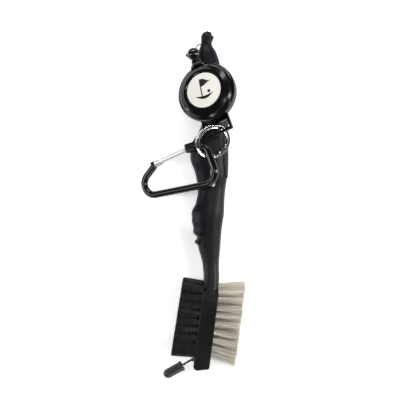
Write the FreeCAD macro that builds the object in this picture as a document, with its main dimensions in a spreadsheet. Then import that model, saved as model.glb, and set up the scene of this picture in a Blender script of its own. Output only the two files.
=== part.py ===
import FreeCAD, Part
import math
import os

import Sketcher
from FreeCAD import Placement, Rotation, Vector

# A golf club groove brush: a two-sided brush with a soft grip, a capped groove spike, and a
# retractable line reel that hangs from a split ring and a snap hook.
# Millimetres. The brush lies on its side on the plane Z = 0, with its handle along +Y, the nylon
# bristles towards -X and the wire bristles towards +X. The origin is on that plane, under the
# middle of the head.

DIMENSIONS = [
    # brush body
    ("body_thick", 18.0, "head and grip, across the side they lie on"),
    ("head_length", 51.7, "from the neck to the end of the head"),
    ("head_depth", 9.15, "from bristle face to bristle face"),
    ("head_lean", 7.2, "degrees between the head and the handle"),
    ("head_slant", 2.2, "how much shorter the wire side's end is"),
    ("head_bevel", 0.8, "rounding of the head's long edges"),
    ("slope_length", 11.0, "the head's slope down to the neck"),
    ("slope_drop", 2.0, "the head's slope down to the neck"),
    ("handle_length", 142.5, "from the neck to the tail's tip"),
    ("handle_width", 22.0, "widest part of the grip"),
    ("grip_layer", 1.8, "soft grip over the hard core"),
    ("grip_proud", 0.45, "how far the soft grip stands above the bare core"),
    ("slot_width", 2.4, "hanging slot through the handle"),
    ("slot_length", 14.0, "hanging slot through the handle"),
    ("eye_bore", 0.6, "radius of the hole for the tether cord"),
    # bristles
    ("tuft_columns", 9, "tufts along the head"),
    ("tuft_pitch", 4.6, "between tufts of a row"),
    ("tuft_radius", 1.3, "tuft in its hole"),
    ("tuft_seat", 2.6, "depth of a tuft's hole"),
    ("tuft_play", 0.03, "between a tuft and its hole"),
    ("row_inner", 2.7, "inner rows from the middle of the head"),
    ("row_outer", 7.0, "outer rows from the middle of the head"),
    ("nylon_length", 12.4, "nylon bristles outside the head"),
    ("nylon_skew", 1.2, "how much longer the nylon is at the head's end"),
    ("wire_length", 14.4, "wire bristles outside the head"),
    ("wire_fan", 10.0, "degrees that the end tufts of wire lean out"),
    ("staple_thick", 0.35, "anchor staple of a tuft"),
    # groove spike
    ("spike_radius", 1.0, "steel pin"),
    ("spike_reach", 17.6, "pin outside the head"),
    ("spike_seat", 7.0, "pin inside the head"),
    ("spike_point", 3.0, "length of the pin's point"),
    ("spike_dip", 29.0, "degrees that the pin points down from square to the handle"),
    ("cap_radius", 2.75, "rubber cap"),
    ("cap_length", 12.3, "rubber cap"),
    ("cap_lip", 0.2, "flare of the cap's mouth"),
    ("cap_play", 0.04, "between the cap's bore and the pin"),
    # reel
    ("reel_radius", 16.8, "front shell"),
    ("reel_half", 5.0, "from the middle to the back"),
    ("reel_lift", 1.2, "reel's back above the top of the body, at the reel's middle"),
    ("reel_part", -0.6, "height of the parting line"),
    ("rear_step", 0.4, "how much smaller the rear shell is"),
    ("shell_wall", 1.3, "shell walls"),
    ("label_radius", 9.95, "printed label"),
    ("label_thick", 0.5, "printed label at its edge"),
    ("label_dome", 0.55, "rise of the printed label to its middle"),
    ("lug_width", 16.0, "lug for the split ring"),
    ("lug_thick", 1.9, "lug for the split ring"),
    ("lug_slot_width", 13.0, "slot in the lug"),
    ("lug_slot_depth", 4.5, "slot in the lug"),
    ("lug_bar", 1.7, "bar beyond the slot"),
    ("lug_side", -1.5, "lug's offset across the reel"),
    ("lug_height", -3.5, "lug's middle from the reel's middle"),
    ("nozzle_radius", 3.1, "ribs of the cord nozzle"),
    ("nozzle_reach", 4.4, "nozzle outside the shells"),
    ("line_radius", 0.35, "reel line"),
    ("line_bore", 0.8, "radius of the nozzle's bore"),
    ("spool_radius", 13.7, "spool flanges"),
    ("spool_height", 5.6, "spool"),
    ("drum_radius", 8.0, "spool drum"),
    ("wound_radius", 10.6, "outside of the wound line"),
    ("post_radius", 1.5, "axle post"),
    ("spool_play", 0.05, "between the spool and the post"),
    ("spring_turns", 5, "turns of the spiral spring"),
    ("spring_band", 0.25, "thickness of the spring band"),
    # tether
    ("ball_radius", 3.65, "stopper ball"),
    ("ball_gap", 0.15, "between the ball and the nozzle"),
    ("tether_radius", 0.4, "tether cord"),
    # split ring
    ("ring_radius", 10.0, "outside of the split ring"),
    ("ring_band", 2.0, "ring band, across its face"),
    ("ring_coil", 0.95, "thickness of each of the two coils"),
    # snap hook
    ("hook_bar", 2.0, "radius of the hook's bar"),
    ("hook_length", 41.2, "spine line of the hook between its corners"),
    ("hook_rise", 23.2, "from the spine line to the hinge corner"),
    ("hook_turn", 7.0, "radius of the hook's two far bends"),
    ("nose_turn", 6.6, "radius of the hook's near bend"),
    ("gate_radius", 1.55, "gate tube"),
    ("gate_tongue", 1.5, "thickness of the gate's hinge tongue"),
    ("gate_play", 0.1, "each side of the gate's tongue and fork"),
    ("rivet_radius", 0.7, "hinge rivet of the gate"),
    ("rivet_play", 0.04, "between the rivet and the tongue's hole"),
]

document = FreeCAD.newDocument("groove_brush")
sheet = document.addObject("Spreadsheet::Sheet", "Sizes")
for row, (alias, amount, note) in enumerate(DIMENSIONS, start=1):
    sheet.set(f"A{row}", alias)
    sheet.set(f"B{row}", str(amount))
    sheet.set(f"C{row}", note)
    sheet.setAlias(f"B{row}", alias)
document.recompute()


class Size:
    """An amount together with the sheet expression that it comes from."""

    def __init__(self, value, text):
        self.value = float(value)
        self.text = text

    def __add__(self, other):
        other = as_size(other)
        return Size(self.value + other.value, f"({self.text} + {other.text})")

    def __sub__(self, other):
        other = as_size(other)
        return Size(self.value - other.value, f"({self.text} - {other.text})")

    def __mul__(self, other):
        other = as_size(other)
        return Size(self.value * other.value, f"({self.text} * {other.text})")

    def __truediv__(self, other):
        other = as_size(other)
        return Size(self.value / other.value, f"({self.text} / {other.text})")

    def __neg__(self):
        return Size(-self.value, f"(-1 * {self.text})")

    def __radd__(self, other):
        return as_size(other) + self

    def __rsub__(self, other):
        return as_size(other) - self

    def __rmul__(self, other):
        return as_size(other) * self

    def __float__(self):
        return self.value


def as_size(amount):
    """Turns a plain number into a Size."""
    return amount if isinstance(amount, Size) else Size(amount, repr(float(amount)))


def size(alias):
    """The Size of one cell of the sheet."""
    return Size(getattr(sheet, alias), f"{sheet.Name}.{alias}")


def mm(alias):
    """The plain number in one cell of the sheet."""
    return float(getattr(sheet, alias))


# ---------------------------------------------------------------- document helpers

def new_body(name):
    """An empty body in the document."""
    return document.addObject("PartDesign::Body", name)


def plane_of(body, role):
    """One of a body's own origin planes."""
    for feature in body.Origin.OriginFeatures:
        if feature.Role == role:
            return feature
    raise ValueError(role)


def new_sketch(body, name, role, offset=0.0):
    """A sketch on one of the body's origin planes, moved along that plane's normal."""
    sketch = body.newObject("Sketcher::SketchObject", name)
    sketch.AttachmentSupport = [(plane_of(body, role), "")]
    sketch.MapMode = "FlatFace"
    if isinstance(offset, Size):
        sketch.setExpression(".AttachmentOffset.Base.z", offset.text)
        sketch.AttachmentOffset = Placement(Vector(0, 0, offset.value), Rotation())
    return sketch


def pin_point(sketch, curve, end, x, y):
    """Holds one end of a curve at a place in the sketch that follows the sheet."""
    for direction, axis, amount in (("DistanceX", -2, as_size(x)), ("DistanceY", -1, as_size(y))):
        if abs(amount.value) < 1e-9:
            sketch.addConstraint(Sketcher.Constraint("PointOnObject", curve, end, axis))
        else:
            index = sketch.addConstraint(
                Sketcher.Constraint(direction, -1, 1, curve, end, amount.value))
            sketch.setExpression(f"Constraints[{index}]", amount.text)


def outline(sketch, points):
    """A closed outline. Each point is (x, y), or (x, y, radius) where the run that arrives at it is
    an arc: a positive radius bulges to the right of the way along the outline."""
    ends = []
    count = len(points)
    for number in range(count):
        start, stop = points[number - 1], points[number]
        x0, y0 = as_size(start[0]), as_size(start[1])
        x1, y1 = as_size(stop[0]), as_size(stop[1])
        first, last = Vector(x0.value, y0.value, 0), Vector(x1.value, y1.value, 0)
        if len(stop) == 2:
            curve = sketch.addGeometry(Part.LineSegment(first, last), False)
            ends.append((curve, 1, 2))
            continue
        radius = as_size(stop[2])
        bulge = abs(radius.value)
        chord = last - first
        across = Vector(-chord.y, chord.x, 0).normalize()
        reach = math.sqrt(max(bulge ** 2 - (chord.Length / 2) ** 2, 0.0))
        right = radius.value > 0
        centre = (first + last) * 0.5 + across * (reach if right else -reach)
        from_angle = math.atan2(first.y - centre.y, first.x - centre.x)
        to_angle = math.atan2(last.y - centre.y, last.x - centre.x)
        if not right:
            from_angle, to_angle = to_angle, from_angle
        if to_angle < from_angle:
            to_angle += 2 * math.pi
        circle = Part.Circle(centre, Vector(0, 0, 1), bulge)
        curve = sketch.addGeometry(Part.ArcOfCircle(circle, from_angle, to_angle), False)
        ends.append((curve, 1, 2) if right else (curve, 2, 1))
        index = sketch.addConstraint(Sketcher.Constraint("Radius", curve, bulge))
        sketch.setExpression(f"Constraints[{index}]", (radius if right else -radius).text)
    for number in range(count):
        curve, start, stop = ends[number]
        following = ends[(number + 1) % count]
        sketch.addConstraint(Sketcher.Constraint("Coincident", curve, stop, following[0], following[1]))
        pin_point(sketch, curve, stop, points[number][0], points[number][1])


def rectangle(sketch, left, low, right, high):
    """A rectangle between two corners."""
    outline(sketch, [(left, low), (right, low), (right, high), (left, high)])


def pad(body, sketch, length, middle=False, backwards=False):
    """Extrudes a sketch."""
    feature = body.newObject("PartDesign::Pad", sketch.Name + "_pad")
    feature.Profile = sketch
    feature.Length = as_size(length).value
    feature.setExpression("Length", as_size(length).text)
    feature.Midplane = middle
    feature.Reversed = backwards
    return feature


def pocket(body, sketch):
    """Cuts a sketch through the whole body, both ways."""
    feature = body.newObject("PartDesign::Pocket", sketch.Name + "_pocket")
    feature.Profile = sketch
    feature.Type = "ThroughAll"
    feature.Midplane = True
    return feature


def rounding(body, name, base_feature, wanted, radius):
    """Rounds the edges of a feature that wanted() picks out."""
    picked = [f"Edge{number}" for number, edge in enumerate(base_feature.Shape.Edges, start=1)
              if wanted(edge)]
    feature = body.newObject("PartDesign::Fillet", name)
    feature.Base = (base_feature, picked)
    feature.Radius = radius.value
    feature.setExpression("Radius", radius.text)
    document.recompute()
    return feature


def turn(name, points, axis="V_Axis", role="XZ_Plane"):
    """A body turned about the sketch's vertical axis, which is the body's Z, or another axis."""
    body = new_body(name)
    sketch = new_sketch(body, name + "_profile", role)
    outline(sketch, points)
    feature = body.newObject("PartDesign::Revolution", name + "_turn")
    feature.Profile = sketch
    feature.ReferenceAxis = (sketch, [axis])
    feature.Angle = 360
    return body


def combine(kind, name, first, second):
    """A boolean of two objects: Fuse, Cut or Common."""
    feature = document.addObject("Part::" + kind, name)
    feature.Base = first
    feature.Tool = second
    return feature


def made(name, shape):
    """A document object that holds a shape worked out in code."""
    feature = document.addObject("Part::Feature", name)
    feature.Shape = shape
    return feature


def frame_from(origin, z_axis, y_hint):
    """A placement from its origin, its Z axis and a rough Y axis."""
    return Placement(origin, Rotation(Vector(), y_hint, z_axis, "ZYX"))


SUBPARTS = []


def keep(item, name, placement=None):
    """Names a finished piece and puts it in its place."""
    item.Label = name
    if placement is not None:
        item.Placement = placement
    SUBPARTS.append(item)
    return item


# ---------------------------------------------------------------- places

MIDDLE = mm("body_thick") / 2
HEAD_TOP = mm("head_length") / 2
HEAD_FRAME = Placement(Vector(0, 0, MIDDLE), Rotation(Vector(0, 0, 1), -mm("head_lean")))


def leaning(tilt, towards):
    """A unit vector that leans from straight up by tilt degrees, towards a heading in degrees."""
    rise, heading = math.radians(tilt), math.radians(towards)
    return Vector(math.sin(rise) * math.cos(heading), math.sin(rise) * math.sin(heading), math.cos(rise))


# ---------------------------------------------------------------- handle

# Stations of the handle, from the tail to the head: the place along the handle as a share of its
# length, the two edges as shares of its width, half its thickness as a share of the body's, and
# how square the section is (2 is an ellipse).
STATIONS = [
    (1.0000, -0.005, 0.045, 0.06, 2.0),
    (0.9940, -0.085, 0.118, 0.24, 2.0),
    (0.9830, -0.134, 0.155, 0.34, 2.1),
    (0.9670, -0.139, 0.168, 0.38, 2.1),
    (0.9490, -0.145, 0.132, 0.34, 2.1),
    (0.9240, -0.200, 0.227, 0.47, 2.1),
    (0.8930, -0.241, 0.305, 0.59, 2.1),
    (0.8580, -0.259, 0.368, 0.68, 2.2),
    (0.7880, -0.264, 0.473, 0.78, 2.3),
    (0.7110, -0.209, 0.545, 0.87, 2.4),
    (0.6340, -0.118, 0.573, 0.94, 2.5),
    (0.5880, -0.227, 0.573, 0.98, 2.5),
    (0.5390, -0.409, 0.573, 1.00, 2.5),
    (0.4930, -0.423, 0.573, 1.00, 2.5),
    (0.4230, -0.286, 0.564, 0.91, 2.5),
    (0.3600, -0.223, 0.509, 0.80, 2.5),
    (0.3110, -0.277, 0.486, 0.81, 2.5),
    (0.2680, -0.391, 0.477, 0.86, 2.4),
    (0.2200, -0.364, 0.432, 0.84, 2.4),
    (0.1700, -0.286, 0.391, 0.78, 2.4),
    (0.1210, -0.200, 0.355, 0.70, 2.4),
    (0.0650, -0.105, 0.327, 0.66, 2.5),
    (0.0090, -0.077, 0.332, 0.78, 2.8),
    (-0.0540, -0.110, 0.300, 0.96, 3.4),
]
SECTION_POINTS = 20


def handle_place(share):
    """Y of a place along the handle, from its share of the handle's length."""
    return HEAD_TOP + share * mm("handle_length")


def handle_section(share, left, right, half, square, inset):
    """One section of the handle, as a closed smooth wire, drawn in by inset."""
    width = mm("handle_width")
    low, high = left * width + inset, right * width - inset
    rise = half * MIDDLE - inset
    middle, reach = (low + high) / 2, (high - low) / 2
    points = []
    for step in range(SECTION_POINTS):
        angle = 2 * math.pi * step / SECTION_POINTS
        across, up = math.cos(angle), math.sin(angle)
        x = middle + reach * math.copysign(abs(across) ** (2 / square), across)
        z = MIDDLE + rise * math.copysign(abs(up) ** (2 / square), up)
        points.append(Vector(x, handle_place(share), z))
    curve = Part.BSplineCurve()
    even = [step / SECTION_POINTS for step in range(SECTION_POINTS + 1)]
    curve.interpolate(points, PeriodicFlag=True, Parameters=even)
    return Part.Wire(curve.toShape())


def station_at(share):
    """The handle's edges, thickness and squareness at any share of its length, on a smooth curve
    through the stations that never swings past them."""
    for index in range(len(STATIONS) - 1):
        if share >= STATIONS[index + 1][0]:
            break
    above, below = STATIONS[index], STATIONS[index + 1]
    span = above[0] - below[0]
    place = (share - below[0]) / span
    result = []
    for column in range(1, 5):
        slopes = []
        for end in (index + 1, index):
            before, after = STATIONS[min(end + 1, len(STATIONS) - 1)], STATIONS[max(end - 1, 0)]
            here = STATIONS[end]
            low = (here[column] - before[column]) / ((here[0] - before[0]) or 1.0)
            high = (after[column] - here[column]) / ((after[0] - here[0]) or 1.0)
            slopes.append(0.0 if low * high <= 0 else 2 * low * high / (low + high))
        start, stop = below[column], above[column]
        result.append(start * (1 + 2 * place) * (1 - place) ** 2 + slopes[0] * span * place * (1 - place) ** 2
                      + stop * place ** 2 * (3 - 2 * place) + slopes[1] * span * place ** 2 * (place - 1))
    return result


def handle_loft(name, inset, first=1.0, last=-0.054):
    """A solid through even sections down the handle between two shares of its length, each drawn
    in by what inset says for its share. A loft that starts at the tail's tip is rounded there."""
    wires, shift = [], 0.0
    if first == 1.0:
        shift = inset(first) / mm("handle_length")
        shares = [first - shift - step for step in (0.0, 0.004, 0.010, 0.018)]
    else:
        shares = [first]
    count = max(2, round((shares[-1] - last) / 0.021))
    shares += [shares[-1] + (last - shares[-1]) * step / count for step in range(1, count + 1)]
    for share in shares:
        left, right, half, square = station_at(share + shift if share > 0.98 else share)
        depth = min(inset(share), 0.6 * half * MIDDLE, 0.3 * (right - left) * mm("handle_width"))
        wires.append(handle_section(share, left, right, half, square, depth))
    return made(name, Part.makeLoft(wires, True, False))


def core_inset(share):
    """How far the bare core lies below the grip's surface: nothing where there is no grip."""
    return mm("grip_proud") * min(max((share - 0.12) / 0.08, 0.0), 1.0)


core_skin = handle_loft("core_skin", core_inset, first=0.70)
grip_skin = handle_loft("grip_skin", lambda share: 0.0, last=0.12)
core_waist = handle_loft("core_waist", lambda share: mm("grip_layer"), last=0.06)

# The soft grip wraps the tail and runs down both edges of the handle. The bare core shows between
# them as a long window, open towards the head, with an arched top.
grip_body = new_body("grip_region")
grip_sketch = new_sketch(grip_body, "grip_border", "XY_Plane")
width, length = size("handle_width"), size("handle_length")
base = size("head_length") / 2


def along(share):
    """Y of a place along the handle that follows the sheet."""
    return base + length * share


outline(grip_sketch, [
    (width * -0.7, along(0.128)), (width * -0.235, along(0.140)), (width * -0.090, along(0.185)),
    (width * 0.010, along(0.222), length * -0.15), (width * 0.041, along(0.290), length * -0.12),
    (width * 0.041, along(0.600)), (width * 0.150, along(0.645), width * 0.19),
    (width * 0.330, along(0.645)), (width * 0.425, along(0.600), width * 0.19),
    (width * 0.455, along(0.465)), (width * 0.520, along(0.4085)), (width * 0.8, along(0.4085)),
    (width * 0.8, along(1.05)), (width * -0.7, along(1.05)),
])
pad(grip_body, grip_sketch, size("body_thick") * 3, middle=True)

# The head: a flat block with a slanted end, its near corner rounder than the far one.
head_body = new_body("head_block")
head_sketch = new_sketch(head_body, "head_outline", "XY_Plane")
deep, half_head = size("head_depth") / 2, size("head_length") / 2
outline(head_sketch, [
    (-deep, half_head - 1.0), (-deep, -half_head), (deep, -half_head + size("head_slant")),
    (deep, half_head - 6.0), (deep - 1.5, half_head - 1.0),
])
head_pad = pad(head_body, head_sketch, size("body_thick"), middle=True)
document.recompute()


def end_corner(edge, side):
    """Whether an edge is the upright corner of the head's end on one side."""
    box = edge.BoundBox
    return box.ZLength > 1 and box.Center.y < 0 and box.Center.x * side > 0


# The head thins towards the neck, in a crowned slope on both of its wide faces.
slope_start, slope_drop = half_head - size("slope_length"), size("slope_drop")
slope_radius = (size("slope_length") * size("slope_length") + slope_drop * slope_drop) / (slope_drop * 2)
face_height = size("body_thick") / 2
sloped = head_pad
for number, way in enumerate((1, -1)):
    slope_sketch = new_sketch(head_body, f"neck_slope_{number}", "YZ_Plane")
    corners = [(half_head, face_height * way), (half_head, (face_height - slope_drop) * way),
               (slope_start, face_height * way, slope_radius * -way)]
    outline(slope_sketch, corners)
    sloped = pocket(head_body, slope_sketch)
    document.recompute()
near_corner_cut = rounding(head_body, "near_corner_cut", sloped, lambda edge: end_corner(edge, -1),
                           size("head_bevel") * 3)
far_corner_cut = rounding(head_body, "far_corner_cut", near_corner_cut,
                          lambda edge: end_corner(edge, 1), size("head_bevel") * 1.6)
rounding(head_body, "head_rounding", far_corner_cut, lambda edge: edge.BoundBox.ZLength < 1e-6,
         size("head_bevel"))
head_body.Placement = HEAD_FRAME
document.recompute()


# ---------------------------------------------------------------- bristles

def tuft_places():
    """Each tuft's place: its share along the block (0 at the neck, 1 at the end), its Y in the
    head's frame, and its row's Z in the head's frame. Every second row is half a step along."""
    columns = int(mm("tuft_columns"))
    first = HEAD_TOP - 3.2
    rows = (-mm("row_outer"), -mm("row_inner"), mm("row_inner"), mm("row_outer"))
    for column in range(columns):
        for number, row in enumerate(rows):
            step = column + 0.5 * (number % 2)
            yield step / (columns - 0.5), first - step * mm("tuft_pitch"), row


def in_head(x, y, z):
    """A point of the head's frame, in the frame of the whole brush."""
    return HEAD_FRAME.multVec(Vector(x, y, z))


def head_way(side, fan):
    """The direction in which a tuft leaves the head, leaning towards its neck by fan degrees."""
    angle = math.radians(fan)
    return HEAD_FRAME.Rotation.multVec(Vector(side * math.cos(angle), math.sin(angle), 0))


def tuft_set(side, length_of, fan_of, spread):
    """The tufts, their holes and their staples on one side of the head."""
    tufts, holes, staples = [], [], []
    face, seat = side * mm("head_depth") / 2, mm("tuft_seat")
    for share, y, z in tuft_places():
        square = head_way(side, 0)
        mouth = in_head(face, y, z)
        floor = mouth - square * seat
        hole = Part.makeCylinder(mm("tuft_radius") + mm("tuft_play"), seat + 1.0, floor, square)
        root = Part.makeCylinder(mm("tuft_radius"), seat, floor + square * mm("tuft_play"), square)
        lean = head_way(side, fan_of(share))
        start = mouth + square * mm("tuft_play")
        tail = Part.makeCone(mm("tuft_radius") * 0.93, mm("tuft_radius") * spread, length_of(share),
                             start - lean * 0.2, lean)
        plate = Part.makeBox(1.5, 2 * mm("tuft_radius") - 0.3, mm("staple_thick"),
                             Vector(0, -mm("tuft_radius") + 0.15, -mm("staple_thick") / 2))
        turned = Rotation(Vector(1, 0, 0), square)
        plate.Placement = Placement(floor + square * (mm("tuft_play") + 0.05), turned)
        tufts.append(root.fuse(tail).removeSplitter().cut(plate))
        holes.append(hole)
        staples.append(plate)
    return tufts, holes, staples


def grouped(solids):
    """A compound of the solids of many shapes."""
    return Part.makeCompound([solid for shape in solids for solid in shape.Solids])


nylon, nylon_holes, nylon_plates = tuft_set(
    -1, lambda share: mm("nylon_length") + mm("nylon_skew") * (share - 0.5), lambda share: 0.0, 1.35)
wire, wire_holes, wire_plates = tuft_set(
    1, lambda share: mm("wire_length"),
    lambda share: mm("wire_fan") * (1 - 2 * share) - 0.5, 1.45)
keep(made("nylon_tufts", grouped(nylon)), "nylon_tufts")
keep(made("wire_tufts", grouped(wire)), "wire_tufts")
keep(made("nylon_staples", grouped(nylon_plates)), "nylon_staples")
keep(made("wire_staples", grouped(wire_plates)), "wire_staples")

# ---------------------------------------------------------------- groove spike

SPIKE_HEADING = 180 + mm("spike_dip")
SPIKE_WAY = leaning(90, SPIKE_HEADING)
SPIKE_MOUTH = in_head(-mm("head_depth") / 2, -HEAD_TOP + 5.6, 0)
SPIKE_FRAME = frame_from(SPIKE_MOUTH, SPIKE_WAY, Vector(0, 0, 1))

pin, reach, seat = size("spike_radius"), size("spike_reach"), size("spike_seat")
spike = turn("groove_spike", [
    (0, -seat), (pin, -seat), (pin, reach - size("spike_point")), (0.12, reach), (0, reach)])
keep(spike, "groove_spike", SPIKE_FRAME)

cap, lip, bore = size("cap_radius"), size("cap_lip"), size("spike_radius") + size("cap_play")
mouth = reach + 2.2 - size("cap_length")
spike_cap = turn("spike_cap", [
    (bore, mouth), (cap + lip, mouth), (cap + lip, mouth + 1.4), (cap, mouth + 2.0),
    (cap, mouth + size("cap_length") - cap), (0, mouth + size("cap_length"), cap),
    (0, reach + 0.7), (bore, reach + 0.7 - size("spike_point")),
])
keep(spike_cap, "spike_cap", SPIKE_FRAME)

# ---------------------------------------------------------------- reel frame

# The reel lies on the handle near its tail, tipped towards the nylon side. Its own frame has Z
# through the label, Y towards the cord nozzle and X across, with the origin in its middle.
REEL_TILT, REEL_TOWARDS, REEL_HEADING = 24.3, 157.2, 114.0
REEL_NORMAL = leaning(REEL_TILT, REEL_TOWARDS)
REEL_ORIGIN = Vector(0.2, handle_place(0.7400), mm("body_thick") + mm("reel_lift") + mm("reel_half"))
REEL_FRAME = frame_from(REEL_ORIGIN, REEL_NORMAL, leaning(90, REEL_HEADING))

shell, wall, part_line = size("reel_radius"), size("shell_wall"), size("reel_part")
half, label = size("reel_half"), size("label_radius")
seat_height = half - 1.0

front_cap = turn("front_cap", [
    (0, seat_height), (label + 0.45, seat_height), (label + 0.95, half - 0.3), (label + 2.1, half - 0.3),
    (shell - 2.4, half - 1.6, shell * 1.2), (shell, half - 4.2, size("reel_half") * 0.56),
    (shell, part_line), (shell - wall, part_line), (shell - wall, half - 3.2),
    (shell - wall - 1.0, seat_height - 1.1), (0, seat_height - 1.1),
])
rear_radius = shell - size("rear_step")
rear_cap = turn("rear_cap", [
    (0, -half), (rear_radius - 1.5, -half), (rear_radius, -half + 1.5, 1.5), (rear_radius, part_line),
    (shell - wall - 0.08, part_line), (shell - wall - 0.08, part_line + 1.0),
    (shell - wall - 0.9, part_line + 1.0), (shell - wall - 0.9, -half + wall), (0, -half + wall),
])

# A round shoulder on both shells carries the nozzle; it is split at the parting line.
nozzle_height = mm("reel_part")
reach_out = size("reel_radius")
shoulder = turn("shoulder", [
    (0, reach_out - 1.2), (4.6, reach_out - 1.2), (4.3, reach_out),
    (3.5, reach_out + 1.3, size("nozzle_radius") * 2),
    (0, reach_out + 1.3)], role="XY_Plane")
shoulder.Placement = Placement(Vector(0, 0, nozzle_height), Rotation())
NOZZLE_NECK = mm("nozzle_radius") - 1.0


def slab(name, low, high):
    """A wide flat slab between two heights, to split a shape at the parting line."""
    reach = 3 * mm("reel_radius")
    box = document.addObject("Part::Box", name)
    box.Length = box.Width = reach
    box.Height = high - low
    box.Placement = Placement(Vector(-reach / 2, -reach / 2, low), Rotation())
    return box


def bore_along_y(name, radius, low, high, height):
    """A round tool along the reel's Y."""
    tool = document.addObject("Part::Cylinder", name)
    tool.Radius = radius
    tool.Height = high - low
    tool.Placement = Placement(Vector(0, low, height), Rotation(Vector(1, 0, 0), -90))
    return tool


OUTER = mm("reel_radius")
upper_shoulder = combine("Common", "upper_shoulder", shoulder, slab("upper_half", mm("reel_part"), 12))
lower_shoulder = combine("Common", "lower_shoulder", shoulder, slab("lower_half", -12, mm("reel_part")))
nozzle_way = bore_along_y("nozzle_way", NOZZLE_NECK + 0.04, OUTER - 3.4, OUTER + 8, nozzle_height)
front_fused = combine("Fuse", "front_fused", front_cap, upper_shoulder)
front_shell = combine("Cut", "front_shell", front_fused, nozzle_way)
keep(front_shell, "front_shell", REEL_FRAME)

# The lug stands out of the rear shell opposite the nozzle: a flat tab with two ridges and a slot.
lug_body = new_body("lug_tab")
lug_sketch = new_sketch(lug_body, "lug_outline", "XY_Plane", size("lug_height"))
side, lug_half = size("lug_side"), size("lug_width") / 2
slot_near = -rear_radius - 1.9
slot_far = slot_near - size("lug_slot_depth")
lug_end = slot_far - size("lug_bar")
rectangle(lug_sketch, side - lug_half, lug_end, side + lug_half, -rear_radius + 4.0)
pad(lug_body, lug_sketch, size("lug_thick"), middle=True)
for number, place in enumerate((0.4, 1.2)):
    ridge = new_sketch(lug_body, f"ridge_{number}", "XY_Plane", size("lug_height"))
    rectangle(ridge, side - lug_half + 0.8, -rear_radius - place - 0.35,
              side + lug_half - 0.8, -rear_radius - place)
    pad(lug_body, ridge, size("lug_thick") + 0.7, middle=True)
slot_sketch = new_sketch(lug_body, "lug_slot", "XY_Plane", size("lug_height"))
slot_half = size("lug_slot_width") / 2
rectangle(slot_sketch, side - slot_half, slot_far, side + slot_half, slot_near)
lug_pocket = pocket(lug_body, slot_sketch)
document.recompute()
BAR_Y = -(mm("reel_radius") - mm("rear_step") + 1.9 + mm("lug_slot_depth") + mm("lug_bar") / 2)


def along_bar(edge):
    """Whether an edge runs along the lug's outer bar."""
    box = edge.BoundBox
    return box.XLength > mm("lug_slot_width") - 1 and abs(box.Center.y - BAR_Y) < mm("lug_bar")


rounding(lug_body, "lug_rounding", lug_pocket, along_bar, size("lug_bar") * 0.27)
hollow = document.addObject("Part::Cylinder", "hollow")
hollow.setExpression("Radius", (shell - wall - 0.9).text)
hollow.setExpression("Height", (half * 2 - wall - 2.1).text)
hollow.Placement = Placement(Vector(0, 0, -mm("reel_half") + mm("shell_wall")), Rotation())
rear_fused = combine("Fuse", "rear_fused", rear_cap, lower_shoulder)
rear_lugged = combine("Fuse", "rear_lugged", rear_fused, lug_body)
rear_emptied = combine("Cut", "rear_emptied", rear_lugged, hollow)
nozzle_way_rear = bore_along_y("nozzle_way_rear", NOZZLE_NECK + 0.04, OUTER - 3.4, OUTER + 8, nozzle_height)
rear_shell = combine("Cut", "rear_shell", rear_emptied, nozzle_way_rear)
keep(rear_shell, "rear_shell", REEL_FRAME)

dome = size("label_dome")
label_disc = turn("label", [
    (0, seat_height), (label, seat_height), (label, seat_height + size("label_thick")),
    (0, seat_height + size("label_thick") + dome, (label * label + dome * dome) / (dome * 2))])
keep(label_disc, "label", REEL_FRAME)

# The cord nozzle: a ribbed bush with a collar inside the shells.
neck, rib, line_hole = size("nozzle_radius") - 1.0, size("nozzle_radius"), size("line_bore")
out = size("reel_radius") + 1.4
mouth_end = size("reel_radius") + size("nozzle_reach")
rib_step = (mouth_end - out) / 3
nozzle_points = [(line_hole + 0.5, reach_out - 2.9), (neck - 0.35, reach_out - 2.9), (neck, reach_out - 2.5),
                 (neck, out)]
for number in range(3):
    near = out + rib_step * number
    nozzle_points += [(rib - 0.25 * number, near), (rib - 0.25 * number, near + rib_step * 0.6),
                      (neck + 0.1, near + rib_step * 0.75), (neck + 0.1, near + rib_step)]
nozzle_points += [(line_hole + 0.4, mouth_end), (line_hole, mouth_end - 0.5), (line_hole, reach_out - 2.3)]
nozzle = turn("cord_nozzle", nozzle_points, role="XY_Plane")
keep(nozzle, "cord_nozzle", REEL_FRAME.multiply(Placement(Vector(0, 0, nozzle_height), Rotation())))

# ---------------------------------------------------------------- inside the reel

post, play = size("post_radius"), size("spool_play")
floor_height = -half + wall
ceiling = seat_height - 1.1
axle = turn("axle_post", [(0, floor_height), (post, floor_height), (post, ceiling), (0, ceiling)])
keep(axle, "axle_post", REEL_FRAME)

spool_low = floor_height + 0.45
spool_high = spool_low + size("spool_height")
flange, drum, flange_radius = Size(0.7, "0.7"), size("drum_radius"), size("spool_radius")
pot = drum - 1.0
spool = turn("spool", [
    (post + play, spool_low), (flange_radius, spool_low), (flange_radius, spool_low + flange),
    (drum, spool_low + flange), (drum, spool_high - flange), (flange_radius, spool_high - flange),
    (flange_radius, spool_high), (pot + 0.4, spool_high), (pot + 0.4, spool_high - 0.5),
    (pot, spool_high - 0.5), (pot, spool_low + 0.9), (post + play, spool_low + 0.9)])
keep(spool, "spool", REEL_FRAME)
lid = turn("spring_cover", [
    (post + 0.15, spool_high - 0.5), (pot + 0.38, spool_high - 0.5), (pot + 0.38, spool_high),
    (post + 0.15, spool_high)])
keep(lid, "spring_cover", REEL_FRAME)
winding = turn("wound_line", [
    (drum, spool_low + flange), (size("wound_radius"), spool_low + flange),
    (size("wound_radius"), spool_high - flange), (drum, spool_high - flange)])
keep(winding, "wound_line", REEL_FRAME)


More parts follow.
